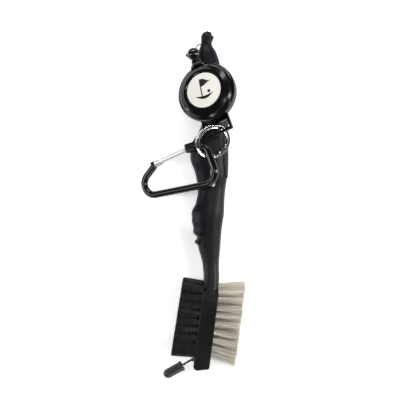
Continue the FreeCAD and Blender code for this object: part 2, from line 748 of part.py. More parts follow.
def spiral_band():
    """The flat spiral spring, from beside the post to the spool's drum, as one bent band."""
    inner, outer = mm("post_radius") + 0.2, mm("drum_radius") - 1.0 - 0.25
    turns, thick = mm("spring_turns"), mm("spring_band")
    steps = int(turns * 16)
    edges = []
    for shift in (0.0, thick):
        points = []
        for step in range(steps + 1):
            angle = 2 * math.pi * turns * step / steps
            radius = inner + (outer - thick - inner) * step / steps + shift
            points.append(Vector(radius * math.cos(angle), radius * math.sin(angle), 0))
        curve = Part.BSplineCurve()
        curve.interpolate(points)
        edges.append(curve.toShape())
    ends = [Part.LineSegment(edges[0].Vertexes[index].Point, edges[1].Vertexes[index].Point).toShape()
            for index in (0, 1)]
    face = Part.Face(Part.Wire(Part.__sortEdges__([edges[0], ends[1], edges[1], ends[0]])))
    low = (spool_low + 1.1).value
    face.translate(Vector(0, 0, low))
    return face.extrude(Vector(0, 0, (spool_high - 0.7).value - low))


keep(made("spiral_spring", spiral_band()), "spiral_spring", REEL_FRAME)


def tube(points, bends, radius):
    """A round tube along straight runs joined by tangent arcs, one bend radius for each corner."""
    edges, start = [], points[0]
    for index, bend in enumerate(bends, start=1):
        corner = points[index]
        back = (points[index - 1] - corner).normalize()
        ahead = (points[index + 1] - corner).normalize()
        turn_angle = math.pi - back.getAngle(ahead)
        trim = bend * math.tan(turn_angle / 2)
        first, last = corner + back * trim, corner + ahead * trim
        inward = (back + ahead).normalize()
        crown = corner + inward * (bend / math.cos(turn_angle / 2) - bend)
        edges.append(Part.LineSegment(start, first).toShape())
        edges.append(Part.Arc(first, crown, last).toShape())
        start = last
    edges.append(Part.LineSegment(start, points[-1]).toShape())
    path = Part.Wire(edges)
    profile = Part.Wire(Part.Circle(points[0], points[1] - points[0], radius).toShape())
    return path.makePipeShell([profile], True, True)


BALL_AT = OUTER + mm("nozzle_reach") + mm("ball_gap") + mm("ball_radius")
lane = nozzle_height
coil_radius = mm("wound_radius") + mm("line_radius") + 0.05
gate_y = OUTER - 2.6
touch_angle = math.acos(coil_radius / gate_y)
touch = Vector(coil_radius * math.sin(touch_angle), coil_radius * math.cos(touch_angle), lane)
line_points = [Vector(0, BALL_AT - mm("ball_radius") + 0.02, lane), Vector(0, gate_y, lane), touch]
keep(made("line_run", tube(line_points, [2.2], mm("line_radius"))), "line_run", REEL_FRAME)

# ---------------------------------------------------------------- tether

BALL_CENTRE = REEL_FRAME.multVec(Vector(0, BALL_AT, nozzle_height))
EYE = Vector(-0.006 * mm("handle_width"), handle_place(0.9480), MIDDLE)
ball = mm("ball_radius")
knot_centre = EYE + Vector(0.3, 0, 0)
bend_point = EYE + Vector(-5.0, -0.35, 0.3)
tether_entry = (bend_point - BALL_CENTRE).normalize()
ferrule_way = Vector(-0.95, -0.2, -0.24).normalize()
line_way = REEL_FRAME.Rotation.multVec(Vector(0, -1, 0))
ball_shape = Part.makeSphere(ball, BALL_CENTRE)
for bore_radius, way in ((mm("tether_radius") + 0.03, tether_entry), (1.0, ferrule_way),
                         (mm("line_radius") + 0.05, line_way)):
    ball_shape = ball_shape.cut(Part.makeCylinder(bore_radius, ball + 1, BALL_CENTRE + way * 1.6, way))
keep(made("stopper_ball", ball_shape), "stopper_ball")
ferrule_rod = Part.makeCylinder(0.95, ball - 1.5, BALL_CENTRE + ferrule_way * 1.8, ferrule_way)
ferrule_collar = Part.makeCylinder(1.45, 0.7, BALL_CENTRE + ferrule_way * (ball - 0.1), ferrule_way)
ferrule_tip = Part.makeCone(1.45, 0.2, 2.0, BALL_CENTRE + ferrule_way * (ball + 0.6), ferrule_way)
ferrule_collar = ferrule_collar.cut(Part.makeSphere(ball + 0.02, BALL_CENTRE))
keep(made("ferrule", ferrule_rod.fuse([ferrule_collar, ferrule_tip]).removeSplitter()), "ferrule")

tether_points = [BALL_CENTRE + tether_entry * 1.7, bend_point, knot_centre]
tether_rope = tube(tether_points, [2.4], mm("tether_radius"))
knot = Part.makeSphere(0.95, knot_centre)
keep(made("tether_cord", tether_rope.fuse(knot).removeSplitter()), "tether_cord")

# ---------------------------------------------------------------- core and grip, cut to shape

eye_way = (knot_centre - bend_point).normalize()
eye_reach = (knot_centre - bend_point).Length
eye_hole = Part.makeCylinder(mm("eye_bore"), eye_reach, bend_point, eye_way)
tool_solids = [eye_hole.fuse(Part.makeSphere(1.1, knot_centre))]
spike_tool = Part.makeCylinder(mm("spike_radius"), mm("spike_seat") + 3,
                               SPIKE_MOUTH - SPIKE_WAY * mm("spike_seat"), SPIKE_WAY)
slot_x, slot_low = 0.165 * mm("handle_width"), handle_place(0.3740)
slot_reach, slot_round = mm("slot_length") - mm("slot_width"), mm("slot_width") / 2
slot_solid = Part.makeBox(mm("slot_width"), slot_reach, 2 * mm("body_thick"),
                          Vector(slot_x - slot_round, slot_low + slot_round, -MIDDLE))
for end in (slot_low + slot_round, slot_low + slot_round + slot_reach):
    round_end = Part.makeCylinder(slot_round, 2 * mm("body_thick"), Vector(slot_x, end, -MIDDLE))
    slot_solid = slot_solid.fuse(round_end)
eye_tools = made("eye_tools", grouped(tool_solids))
slot_tool = made("slot_tool", slot_solid.removeSplitter())
head_tools = made("head_tools", grouped(nylon_holes + wire_holes + [spike_tool]))

grip_block = combine("Common", "grip_block", grip_skin, grip_body)
grip_sleeve = combine("Cut", "grip_sleeve", grip_block, core_waist)
soft_grip = combine("Cut", "soft_grip", grip_sleeve, eye_tools)
keep(soft_grip, "soft_grip")

bare_core = combine("Cut", "bare_core", core_skin, grip_body)
core_joined = combine("Fuse", "core_joined", bare_core, core_waist)
core_headed = combine("Fuse", "core_headed", core_joined, head_body)
core_slotted = combine("Cut", "core_slotted", core_headed, slot_tool)
core_drilled = combine("Cut", "core_drilled", core_slotted, head_tools)
handle_core = combine("Cut", "handle_core", core_drilled, eye_tools)
keep(handle_core, "handle_core")

# ---------------------------------------------------------------- split ring

# The ring's bar in the lug, seen from the reel, sets where the ring hangs.
BAR_POINT = REEL_FRAME.multVec(Vector(mm("lug_side"), BAR_Y, mm("lug_height")))
RING_NORMAL = leaning(32.9, -55.0)
RING_CENTRE = BAR_POINT + Vector(-3.9, -4.73, -3.97)
RING_FRAME = frame_from(RING_CENTRE, RING_NORMAL, Vector(0, 1, 0))
ring_out, ring_in, coil = size("ring_radius"), size("ring_radius") - size("ring_band"), size("ring_coil")
nick = coil * 0.18
ring = turn("split_ring", [
    (ring_in + nick, -coil), (ring_out - nick, -coil), (ring_out, -coil + nick), (ring_out, -nick),
    (ring_out - nick, 0), (ring_out, nick), (ring_out, coil - nick), (ring_out - nick, coil),
    (ring_in + nick, coil), (ring_in, coil - nick), (ring_in, nick), (ring_in + nick, 0),
    (ring_in, -nick), (ring_in, -coil + nick)])
keep(ring, "split_ring", RING_FRAME)

# ---------------------------------------------------------------- snap hook

# The hook's frame has X along its spine, Y from the spine towards the gate and Z out of its plane.
HOOK_NORMAL = Vector(-0.4554, -0.0031, 0.8903)
HOOK_ALONG = Vector(0.8781, 0.1631, 0.4498)
HOOK_ORIGIN = RING_CENTRE + Vector(-32.57, -29.27, -15.36)
HOOK_FRAME = frame_from(HOOK_ORIGIN, HOOK_NORMAL, HOOK_NORMAL.cross(HOOK_ALONG))

bar = mm("hook_bar")
far_corner = Vector(mm("hook_length"), 0, 0)
top_corner = Vector(mm("hook_length") - 5.2, mm("hook_rise"), 0)
block_end = Vector(mm("hook_length") - 12.6, mm("hook_rise") - 0.75, 0)
nose_end = Vector(1.9, 16.6, 0)
near_corner = Vector(nose_end.x - nose_end.y / math.tan(math.radians(39)), 0, 0)
hook_bar = tube([block_end, top_corner, far_corner, near_corner, nose_end],
                [mm("hook_turn"), mm("hook_turn"), mm("nose_turn")], bar)
pivot = block_end + Vector(-2.4, -0.35, 0)
gate_target = Vector(4.6, 17.9, 0)
gate_way = (gate_target - pivot).normalize()
gate_span = (nose_end - pivot).Length
gate_angle = math.degrees(math.atan2(gate_way.y, gate_way.x))
GATE_FRAME = Placement(pivot, Rotation(Vector(0, 0, 1), gate_angle))
slit = mm("gate_tongue") + 2 * mm("gate_play")
block = Part.makeBox(6.4, 5.2, 2 * bar + 0.3, Vector(-3.2, -2.6, -bar - 0.15))
block = block.makeFillet(0.9, [edge for edge in block.Edges if edge.BoundBox.ZLength < 1e-6
                               or edge.BoundBox.YLength < 1e-6 and edge.BoundBox.XLength < 1e-6])
block_turn = math.degrees(math.atan2(top_corner.y - block_end.y, top_corner.x - block_end.x))
block.Placement = Placement(pivot + Vector(0.6, 0.1, 0), Rotation(Vector(0, 0, 1), block_turn))
slit_box = Part.makeBox(12, 12, slit, Vector(-1.9, -6, -slit / 2))
slit_box.Placement = GATE_FRAME
rivet_hole = Part.makeCylinder(mm("rivet_radius"), 4 * bar, pivot - Vector(0, 0, 2 * bar))
tongue_thick = slit - 2 * mm("gate_play") - 0.2
nose_way = Rotation(Vector(0, 0, 1), math.degrees(math.atan2(-gate_way.y, -gate_way.x)))
nose_tongue = Part.makeBox(5.2, 2.3, tongue_thick, Vector(-1.6, -0.55, -tongue_thick / 2))
nose_tongue.Placement = Placement(pivot + gate_way * (gate_span + 0.4), nose_way)
NOSE_PIN_AT = gate_span - 2.1
pin_centre = pivot + gate_way * NOSE_PIN_AT
notch_turn = Rotation(Vector(0, 0, 1), gate_angle)
pin_seat = Part.makeCylinder(0.6, 4, pin_centre - Vector(0, 0, 2))
pin_lane = Part.makeBox(1.35, 3.2, 4, Vector(-0.75, 0, -2))
pin_lane.Placement = Placement(pin_centre, notch_turn)
hook_shape = hook_bar.fuse([block, nose_tongue]).cut([slit_box, rivet_hole, pin_seat, pin_lane])
keep(made("hook_frame", hook_shape.removeSplitter()), "hook_frame", HOOK_FRAME)

# The gate: a tube with a flat hinge tongue at one end and a fork with a cross pin at the other.
gate_radius, tongue = mm("gate_radius"), mm("gate_tongue")
gate_tube = Part.makeCylinder(gate_radius, gate_span - 4.6 - 3.4, Vector(3.4, 0, 0), Vector(1, 0, 0))
fork_start = gate_span - 4.6
fork_head = Part.makeCylinder(gate_radius + 0.5, 3.6, Vector(fork_start, 0, 0), Vector(1, 0, 0))
fork_cone = Part.makeCone(gate_radius, gate_radius + 0.5, 0.8, Vector(fork_start - 0.8, 0, 0), Vector(1, 0, 0))
hinge_eye = Part.makeCylinder(1.5, tongue, Vector(0, 0, -tongue / 2))
hinge_strap = Part.makeBox(4.4, 2.7, tongue, Vector(0, -1.35, -tongue / 2))
fork_slit = Part.makeBox(9, 9, tongue_thick + 0.4, Vector(fork_start - 0.9, -4.5, -tongue_thick / 2 - 0.2))
pivot_hole = Part.makeCylinder(mm("rivet_radius") + mm("rivet_play"), 6, Vector(0, 0, -3))
pin_hole = Part.makeCylinder(0.45, 8, Vector(NOSE_PIN_AT, 0, -4))
spring_way = Part.makeCylinder(0.95, gate_span - 4.6 - 9, Vector(4.6, 0, 0), Vector(1, 0, 0))
gate_shape = gate_tube.fuse([fork_head, fork_cone, hinge_eye, hinge_strap])
gate_shape = gate_shape.cut([fork_slit, pivot_hole, pin_hole, spring_way]).removeSplitter()
GATE_PLACE = HOOK_FRAME.multiply(GATE_FRAME)
keep(made("gate", gate_shape), "gate", GATE_PLACE)
nose_pin = Part.makeCylinder(0.44, 2 * gate_radius + 0.6, Vector(NOSE_PIN_AT, 0, -gate_radius - 0.3))
keep(made("nose_pin", nose_pin), "nose_pin", GATE_PLACE)
rivet_shank = Part.makeCylinder(mm("rivet_radius"), 2 * bar + 0.3, Vector(0, 0, -bar - 0.15))
rivet_heads = [Part.makeCylinder(1.15, 0.3, Vector(0, 0, bar + 0.15)),
               Part.makeCylinder(1.15, 0.3, Vector(0, 0, -bar - 0.45))]
keep(made("gate_rivet", rivet_shank.fuse(rivet_heads).removeSplitter()), "gate_rivet", GATE_PLACE)


def coil_spring(radius, wire_radius, turns, start, span):
    """A small coil spring along X."""
    path = Part.makeHelix(span / turns, span, radius)
    profile = Part.Wire(Part.Circle(Vector(radius, 0, 0), Vector(0, 1, 0), wire_radius).toShape())
    spring = Part.Wire(path.Edges).makePipeShell([profile], True, True)
    spring.Placement = Placement(Vector(start, 0, 0), Rotation(Vector(0, 1, 0), 90))
    return spring


keep(made("gate_spring", coil_spring(0.72, 0.14, 9, 5.0, 7.5)), "gate_spring")
SUBPARTS[-1].Placement = GATE_PLACE.multiply(SUBPARTS[-1].Shape.Placement)

# ---------------------------------------------------------------- write

document.recompute()
failed = [item.Label for item in document.Objects
          if "Invalid" in item.State or "Error" in item.State]
if failed:
    raise RuntimeError(f"these objects failed: {failed}")
os.makedirs("parts", exist_ok=True)
for item in SUBPARTS:
    if item.Shape.isNull() or not item.Shape.isValid() or not item.Shape.Solids:
        raise RuntimeError(f"{item.Label} has no valid solid")
    item.Shape.exportStep(os.path.join("parts", item.Label + ".step"))
    print(item.Label, len(item.Shape.Solids), round(item.Shape.Volume, 1))
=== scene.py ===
"""Looks of a golf club groove brush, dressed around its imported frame.

Every length below is in millimetres until metres() turns it into the frame's own unit. The brush
lies on its side on the plane Z = 0, its handle runs along +Y, nylon is towards -X and wire
towards +X.
"""

import logging
import math
from dataclasses import dataclass, field
from enum import Enum

import bmesh
import bpy
from mathutils import Matrix, Vector


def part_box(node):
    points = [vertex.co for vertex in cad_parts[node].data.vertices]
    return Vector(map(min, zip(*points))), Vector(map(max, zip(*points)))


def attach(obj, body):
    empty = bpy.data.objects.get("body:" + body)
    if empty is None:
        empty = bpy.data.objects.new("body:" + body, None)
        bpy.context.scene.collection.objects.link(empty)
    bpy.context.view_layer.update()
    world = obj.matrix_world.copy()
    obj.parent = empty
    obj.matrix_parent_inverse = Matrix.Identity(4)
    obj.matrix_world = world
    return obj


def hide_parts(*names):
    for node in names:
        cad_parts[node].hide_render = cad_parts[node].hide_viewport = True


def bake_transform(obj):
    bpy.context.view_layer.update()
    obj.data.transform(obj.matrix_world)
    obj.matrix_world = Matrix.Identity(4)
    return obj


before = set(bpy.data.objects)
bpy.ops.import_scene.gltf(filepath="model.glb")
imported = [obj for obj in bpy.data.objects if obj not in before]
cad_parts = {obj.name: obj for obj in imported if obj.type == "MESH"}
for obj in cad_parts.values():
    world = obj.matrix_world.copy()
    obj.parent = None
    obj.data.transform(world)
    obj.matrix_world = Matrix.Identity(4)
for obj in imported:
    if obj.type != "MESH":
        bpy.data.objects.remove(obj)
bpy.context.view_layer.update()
LOG = logging.getLogger("groove_brush")

MM_PER_METRE = 1000.0
FULL_TURN = 2 * math.pi

Colour = tuple[float, float, float]
Point = tuple[float, float, float]


def metres(*amounts: float) -> Vector:
    """Turns three millimetre amounts into a vector in metres."""
    return Vector(amounts) / MM_PER_METRE


def middle_of(node: str) -> Vector:
    """The middle of a CAD node's box, in metres."""
    low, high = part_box(node)
    return (Vector(low) + Vector(high)) / 2


class Weaver:
    """Adds and links nodes in one node tree."""

    def __init__(self, tree: bpy.types.NodeTree) -> None:
        """Keeps the tree that nodes are added to."""
        self.tree = tree

    def add(self, kind: str, inputs: dict | None = None, **settings: object) -> bpy.types.Node:
        """Adds one node.

        Args:
            kind: Blender's name of the node's type.
            inputs: a value or an output socket for each named or numbered input.
            settings: the node's own properties.

        Returns:
            The new node.
        """
        node = self.tree.nodes.new(kind)
        for name, value in settings.items():
            setattr(node, name, value)
        for key, value in (inputs or {}).items():
            if isinstance(value, bpy.types.NodeSocket):
                self.tree.links.new(value, node.inputs[key])
            else:
                node.inputs[key].default_value = value
        return node

    def maths(self, operation: str, first: object, second: object = 0.0) -> bpy.types.NodeSocket:
        """The result of one sum of two values or sockets."""
        node = self.add("ShaderNodeMath", {0: first, 1: second}, operation=operation)
        return node.outputs[0]

    def vector_maths(self, operation: str, first: object, second: object) -> bpy.types.NodeSocket:
        """The result of one sum of two vectors, or of a vector and a scale."""
        key = "Scale" if operation == "SCALE" else 1
        node = self.add("ShaderNodeVectorMath", {0: first, key: second}, operation=operation)
        return node.outputs[0]


# ---------------------------------------------------------------- finishes

class Grain(Enum):
    """The small-scale surface that a finish has."""

    SMOOTH = "a moulded gloss with a faint waviness"
    SATIN = "a soft fine grain, as on rubber"
    STIPPLE = "small raised dots, as on textured plastic"
    DRAWN = "fine lines along one axis, as on drawn or brushed metal"
    TWIST = "slanting ridges, as on twisted cord"


@dataclass(frozen=True)
class Finish:
    """One material: its colour, its gloss and its grain.

    Sizes of the grain are in millimetres, and axis_stretch stretches it along X, Y and Z.
    """

    name: str
    colour: Colour
    roughness: float
    grain: Grain = Grain.SMOOTH
    grain_size: float = 1.0
    grain_height: float = 0.01
    second_colour: Colour | None = None
    metallic: float = 0.0
    coat: float = 0.0
    specular: float = 0.5
    sheen: float = 0.0
    rough_change: float = 0.06
    axis_stretch: Point = (1.0, 1.0, 1.0)

    def material(self) -> bpy.types.Material:
        """The finish as a node material, made once and shared.

        Returns:
            The material of this name.
        """
        known = bpy.data.materials.get(self.name)
        if known:
            return known
        made = bpy.data.materials.new(self.name)
        made.use_nodes = True
        made.node_tree.nodes.clear()
        weave = Weaver(made.node_tree)
        place = weave.add("ShaderNodeTexCoord").outputs["Object"]
        spread = weave.add("ShaderNodeMapping", {
            "Vector": place,
            "Scale": tuple(MM_PER_METRE / self.grain_size / part for part in self.axis_stretch)})
        grain = self._grain_height(weave, spread.outputs[0])
        broad = weave.add("ShaderNodeTexNoise", {"Vector": place, "Scale": 90.0, "Detail": 3.0})
        blend = weave.add("ShaderNodeMapRange", {
            "Value": broad.outputs[0], "From Min": 0.35, "From Max": 0.65})
        second = self.second_colour or tuple(part * 0.8 for part in self.colour)
        mix = weave.add("ShaderNodeMix", {"Factor": blend.outputs[0]}, data_type="RGBA")
        mix.inputs["A"].default_value = (*self.colour, 1.0)
        mix.inputs["B"].default_value = (*second, 1.0)
        rough = weave.add("ShaderNodeMapRange", {
            "Value": broad.outputs[0], "From Min": 0.3, "From Max": 0.7,
            "To Min": max(self.roughness - self.rough_change, 0.02),
            "To Max": self.roughness + self.rough_change})
        bump = weave.add("ShaderNodeBump", {
            "Height": grain, "Strength": 1.0, "Distance": self.grain_height / MM_PER_METRE})
        shader = weave.add("ShaderNodeBsdfPrincipled", {
            "Base Color": mix.outputs["Result"], "Roughness": rough.outputs[0], "Normal": bump.outputs[0],
            "Metallic": self.metallic, "Coat Weight": self.coat, "Coat Roughness": 0.04,
            "Specular IOR Level": self.specular, "Sheen Weight": self.sheen})
        weave.add("ShaderNodeOutputMaterial", {"Surface": shader.outputs[0]})
        return made

    def _grain_height(self, weave: Weaver, place: bpy.types.NodeSocket) -> bpy.types.NodeSocket:
        """The height pattern of this finish's grain.

        Args:
            weave: the material's weaver.
            place: the point on the piece, scaled to the grain.

        Returns:
            The socket that carries the height.
        """
        if self.grain is Grain.STIPPLE:
            dots = weave.add("ShaderNodeTexVoronoi", {"Vector": place, "Scale": 1.0})
            return weave.add("ShaderNodeMapRange", {
                "Value": dots.outputs["Distance"], "From Min": 0.15, "From Max": 0.55,
                "To Min": 1.0, "To Max": 0.0}).outputs[0]
        if self.grain is Grain.TWIST:
            bands = weave.add("ShaderNodeTexWave", {"Vector": place, "Scale": 1.0, "Distortion": 0.6},
                              bands_direction="DIAGONAL")
            return bands.outputs["Fac"]
        detail = {Grain.SMOOTH: 1.0, Grain.SATIN: 5.0, Grain.DRAWN: 3.0}[self.grain]
        return weave.add("ShaderNodeTexNoise", {"Vector": place, "Scale": 1.0, "Detail": detail}).outputs[0]


SOFT_GRIP = Finish("soft_grip_rubber", (0.003, 0.004, 0.007), 0.42, Grain.SATIN, 0.35, 0.012,
                   second_colour=(0.005, 0.007, 0.011), specular=0.15)
CORE_PLASTIC = Finish("stippled_core", (0.005, 0.005, 0.005), 0.38, Grain.STIPPLE, 0.42, 0.022,
                      second_colour=(0.009, 0.0085, 0.008), specular=0.19)
REEL_BLACK = Finish("reel_gloss_black", (0.004, 0.004, 0.005), 0.18, Grain.SMOOTH, 5.0, 0.012, coat=0.06,
                    specular=0.26, rough_change=0.03)
NOZZLE_BLACK = Finish("nozzle_black", (0.006, 0.006, 0.007), 0.22, Grain.SMOOTH, 1.5, 0.01, specular=0.4)
BALL_BLACK = Finish("ball_gloss_black", (0.004, 0.004, 0.005), 0.12, Grain.SMOOTH, 3.0, 0.01, coat=0.2,
                    specular=0.4)
LABEL_CREAM = Finish("label_cream", (0.83, 0.81, 0.75), 0.30, Grain.SATIN, 0.25, 0.004,
                     second_colour=(0.80, 0.78, 0.72), coat=0.25)
PRINT_INK = Finish("print_ink", (0.012, 0.012, 0.013), 0.35, Grain.SATIN, 0.3, 0.003)
NYLON = Finish("nylon_strands", (0.006, 0.006, 0.007), 0.24, Grain.SMOOTH, 0.8, 0.01,
               second_colour=(0.014, 0.014, 0.015), specular=0.38)
WIRE = Finish("crimped_wire", (0.90, 0.85, 0.75), 0.36, Grain.DRAWN, 0.15, 0.006,
              second_colour=(0.72, 0.67, 0.57), metallic=0.7)
SPIKE_STEEL = Finish("spike_steel", (0.72, 0.71, 0.69), 0.18, Grain.DRAWN, 0.12, 0.003, metallic=1.0,
                     axis_stretch=(6.0, 3.0, 1.0))
CAP_RUBBER = Finish("cap_rubber", (0.005, 0.005, 0.006), 0.30, Grain.SATIN, 0.3, 0.01, specular=0.4)
NICKEL = Finish("ring_nickel", (0.47, 0.455, 0.43), 0.27, Grain.DRAWN, 0.2, 0.004,
                second_colour=(0.38, 0.365, 0.34), metallic=1.0)
HOOK_BLACK = Finish("hook_gloss_black", (0.004, 0.004, 0.005), 0.18, Grain.SMOOTH, 4.0, 0.015, coat=0.1,
                    specular=0.3)
GATE_SILVER = Finish("gate_silver", (0.66, 0.66, 0.65), 0.30, Grain.DRAWN, 0.25, 0.008,
                     second_colour=(0.62, 0.62, 0.62), metallic=1.0, axis_stretch=(12.0, 5.0, 5.0))
SMALL_STEEL = Finish("small_steel", (0.62, 0.61, 0.60), 0.28, Grain.DRAWN, 0.2, 0.004, metallic=1.0)
STAPLE_STEEL = Finish("staple_steel", (0.03, 0.03, 0.03), 0.45, Grain.DRAWN, 0.2, 0.004, metallic=1.0)
INNER_PLASTIC = Finish("inner_plastic", (0.55, 0.55, 0.53), 0.40, Grain.SATIN, 0.5, 0.005)
REEL_LINE = Finish("reel_line", (0.016, 0.016, 0.017), 0.55, Grain.TWIST, 0.35, 0.04,
                   second_colour=(0.028, 0.028, 0.030))
# Painted sheen: the tether is a glossy black cord, and this light brown colour with its darker second colour
# stands in for its highlights.
TETHER_PAINTED_SHEEN = Finish("tether_fibre", (0.23, 0.20, 0.175), 0.62, Grain.TWIST, 0.12, 0.02,
                second_colour=(0.15, 0.13, 0.115))

CAD_FINISHES: dict[str, Finish] = {
    "soft_grip": SOFT_GRIP, "handle_core": CORE_PLASTIC, "front_shell": REEL_BLACK,
    "rear_shell": REEL_BLACK, "label": LABEL_CREAM, "cord_nozzle": NOZZLE_BLACK,
    "stopper_ball": BALL_BLACK, "ferrule": NICKEL, "groove_spike": SPIKE_STEEL,
    "spike_cap": CAP_RUBBER, "hook_frame": HOOK_BLACK, "gate": GATE_SILVER,
    "nose_pin": SMALL_STEEL, "gate_rivet": HOOK_BLACK, "gate_spring": SMALL_STEEL,
    "nylon_staples": STAPLE_STEEL, "wire_staples": STAPLE_STEEL, "axle_post": INNER_PLASTIC,
    "spool": INNER_PLASTIC, "spring_cover": INNER_PLASTIC, "wound_line": REEL_LINE,
    "spiral_spring": SMALL_STEEL,
}


# ---------------------------------------------------------------- making pieces

class PieceMaker:
    """Turns meshes, curves and node trees into finished pieces."""

    @staticmethod
    def object_of(name: str, data: bpy.types.ID) -> bpy.types.Object:
        """A new object in the scene, at the origin.

        Args:
            name: the object's name.
            data: the mesh, curve, light or camera that it shows.

        Returns:
            The new object.
        """
        piece = bpy.data.objects.new(name, data)
        bpy.context.scene.collection.objects.link(piece)
        return piece

    @staticmethod
    def bake(piece: bpy.types.Object) -> None:
        """Turns what a mesh piece's modifiers make into its plain mesh.

        Args:
            piece: the piece, whose modifiers are then removed.
        """
        view = bpy.context.evaluated_depsgraph_get()
        mesh = bpy.data.meshes.new_from_object(piece.evaluated_get(view))
        piece.modifiers.clear()
        piece.data = mesh

    @staticmethod
    def woven(name: str, start: bpy.types.Mesh, tree: bpy.types.NodeTree,
              amounts: dict[str, object]) -> bpy.types.Object:
        """Runs a geometry tree on a mesh and keeps the result.

        Args:
            name: the piece's name.
            start: the mesh that goes into the tree.
            tree: the geometry tree.
            amounts: a value for each of the tree's named inputs.

        Returns:
            The finished piece, a plain mesh.
        """
        piece = PieceMaker.object_of(name, start)
        modifier = piece.modifiers.new("weave", "NODES")
        modifier.node_group = tree
        for item in tree.interface.items_tree:
            if item.item_type == "SOCKET" and item.in_out == "INPUT" and item.name in amounts:
                modifier[item.identifier] = amounts[item.name]
        PieceMaker.bake(piece)
        for face in piece.data.polygons:
            face.use_smooth = True
        return piece

    @staticmethod
    def finish(piece: bpy.types.Object, finish: Finish, body: str, slot: str, *nodes: str) -> None:
        """Dresses a piece, lets it ride and hides the CAD nodes it stands for.

        Args:
            piece: the piece.
            finish: its material.
            body: the CAD body it moves with.
            slot: not used.
            nodes: the CAD nodes it stands for.
        """
        piece.data.materials.clear()
        piece.data.materials.append(finish.material())
        if body:
            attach(piece, body)
        if nodes:
            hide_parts(*nodes)
        LOG.info("%s: %d faces on %s", piece.name, len(piece.data.polygons), body or "two bodies")


def new_tree(name: str, numbers: dict[str, float]) -> tuple[Weaver, bpy.types.Node]:
    """A geometry tree with a geometry input and output and named number inputs.

    Args:
        name: the tree's name.
        numbers: the default of each named input.

    Returns:
        The tree's weaver and its group input node.
    """
    tree = bpy.data.node_groups.new(name, "GeometryNodeTree")
    tree.interface.new_socket("Geometry", in_out="INPUT", socket_type="NodeSocketGeometry")
    tree.interface.new_socket("Geometry", in_out="OUTPUT", socket_type="NodeSocketGeometry")
    for label, value in numbers.items():
        kind = "NodeSocketInt" if isinstance(value, int) else "NodeSocketFloat"
        socket = tree.interface.new_socket(label, in_out="INPUT", socket_type=kind)
        socket.default_value = value
    weave = Weaver(tree)
    return weave, weave.add("NodeGroupInput")


def close_tree(weave: Weaver, geometry: bpy.types.NodeSocket, finish: Finish) -> None:
    """Ends a tree in real geometry that has its material.

    Args:
        weave: the tree's weaver.
        geometry: the socket of the finished shape.
        finish: the finish that the shape is given.
    """
    real = weave.add("GeometryNodeRealizeInstances", {0: geometry})
    dressed = weave.add("GeometryNodeSetMaterial", {"Geometry": real.outputs[0]})
    dressed.inputs["Material"].default_value = finish.material()
    weave.add("NodeGroupOutput", {0: dressed.outputs[0]})


# ---------------------------------------------------------------- bristles

